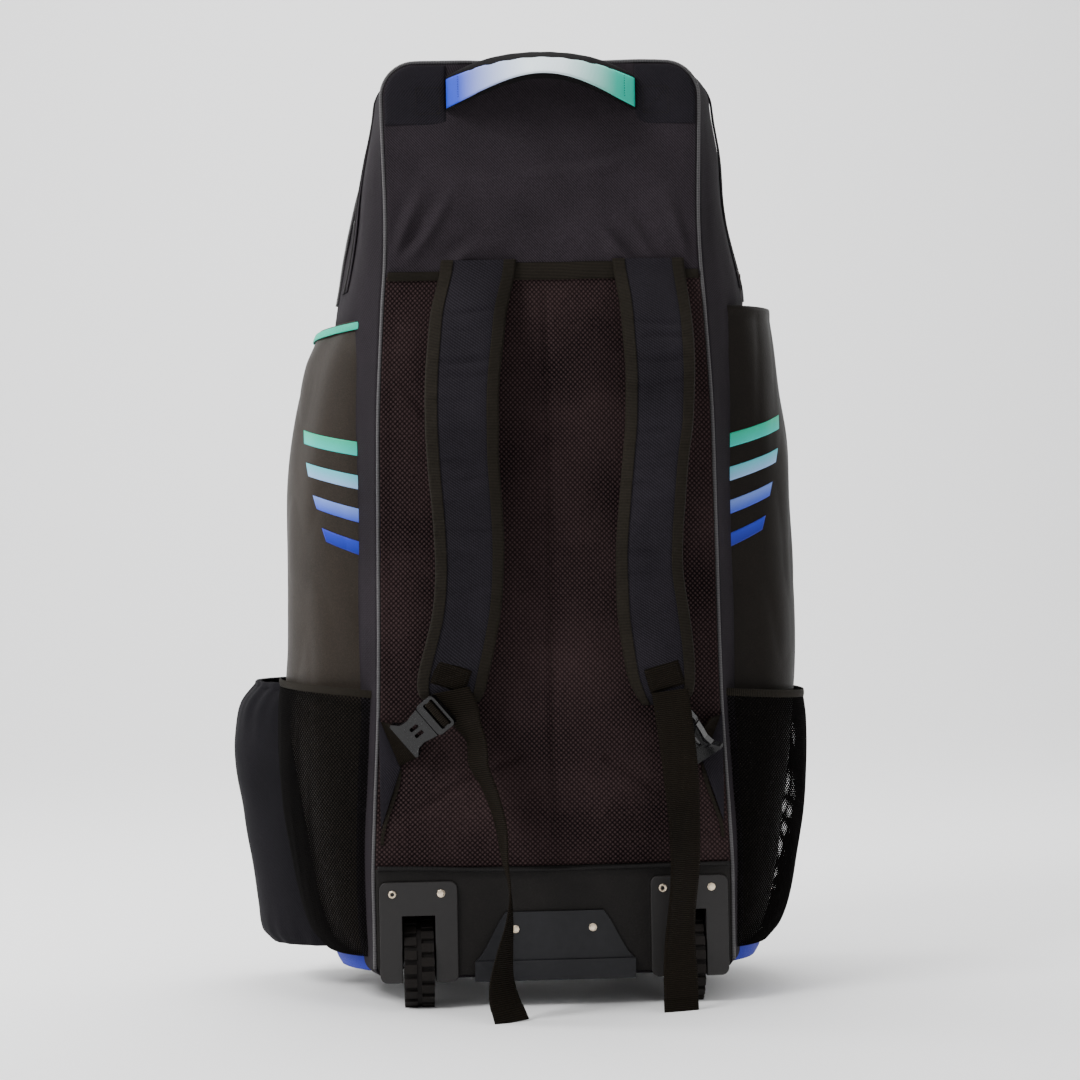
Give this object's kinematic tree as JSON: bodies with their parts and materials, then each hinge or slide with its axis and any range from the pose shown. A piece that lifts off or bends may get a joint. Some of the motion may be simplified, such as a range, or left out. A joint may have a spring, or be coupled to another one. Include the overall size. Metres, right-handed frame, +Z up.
{
  "type": "cricket kit bag",
  "caption": "Upright wheeled cricket kit bag with a padded backpack harness, grab handle, side bat sleeves and mesh side pockets, seen from its harness side.",
  "frame": {"origin": "middle of the bag's bounding box in plan, on the floor that the wheels and the two feet rest on", "axes": "+Z up the standing bag, +Y from the harness side to the front, +X to the right as seen from the harness side"},
  "size_m": [0.6294, 0.4214, 0.9902],
  "materials": {
    "polyester": "matte twill",
    "air_mesh": "open air mesh",
    "coated_cloth": "soft sheen coating",
    "grosgrain": "ribbed weave",
    "silver_cord": "smooth cord",
    "grip_rubber": "matte",
    "colour_webbing": "smooth weave, blue to teal",
    "teal_edge": "smooth",
    "blue_edge": "smooth",
    "hard_plastic": "satin",
    "gloss_plastic": "gloss",
    "nickel": "worn nickel",
    "steel": "brushed",
    "tyre_rubber": "matte",
    "foot_rubber": "matte"
  },
  "bodies": {
    "bag": {"main_shell": "polyester", "back_panel_upper": "polyester", "back_panel_mesh": "air_mesh", "base_panel": "coated_cloth", "top_band": "grosgrain", "back_piping": "silver_cord", "lid_piping": "silver_cord", "base_piping": "grosgrain", "lid_zip": "grosgrain", "handle_grip": "grip_rubber", "handle_webbing": "colour_webbing", "handle_patch_left": "polyester", "shoulder_pad_left": "polyester", "strap_patch_left": "grosgrain", "strap_tail_left": "grosgrain", "anchor_tab_left": "polyester", "anchor_webbing_left": "grosgrain", "bat_sleeve_left": "coated_cloth", "mesh_pocket_left": "air_mesh", "mesh_binding_left": "grosgrain", "pocket_trim_left": "blue_edge", "wheel_housing_left": "hard_plastic", "handle_patch_right": "polyester", "shoulder_pad_right": "polyester", "strap_patch_right": "grosgrain", "strap_tail_right": "grosgrain", "anchor_tab_right": "polyester", "anchor_webbing_right": "grosgrain", "bat_sleeve_right": "coated_cloth", "mesh_pocket_right": "air_mesh", "mesh_binding_right": "grosgrain", "pocket_trim_right": "blue_edge", "wheel_housing_right": "hard_plastic", "sleeve_trim_left": "teal_edge", "cloth_pocket_left": "polyester", "kick_plate": "hard_plastic", "buckle_frame_left": "gloss_plastic", "buckle_socket_left": "gloss_plastic", "buckle_frame_right": "gloss_plastic", "buckle_socket_right": "gloss_plastic", "axle_left": "steel", "axle_right": "steel", "zip_slider": "nickel", "zip_pull": "nickel", "rivet_left_outer": "nickel", "rivet_left_inner": "nickel", "rivet_right_inner": "nickel", "rivet_right_outer": "nickel", "rivet_kick_left": "nickel", "rivet_kick_right": "nickel", "base_foot_left": "foot_rubber", "base_foot_right": "foot_rubber"},
    "wheel_left": {"tyre_left": "tyre_rubber", "hub_left": "hard_plastic"},
    "wheel_right": {"tyre_right": "tyre_rubber", "hub_right": "hard_plastic"}
  },
  "joints": [
    {"name": "wheel_left_roll", "type": "hinge", "parent": "bag", "child": "wheel_left", "pos_m": [-0.11434, -0.08232, 0.048], "axis": [1, 0, 0], "continuous": true},
    {"name": "wheel_right_roll", "type": "hinge", "parent": "bag", "child": "wheel_right", "pos_m": [0.16766, -0.08232, 0.048], "axis": [1, 0, 0], "continuous": true}
  ]
}
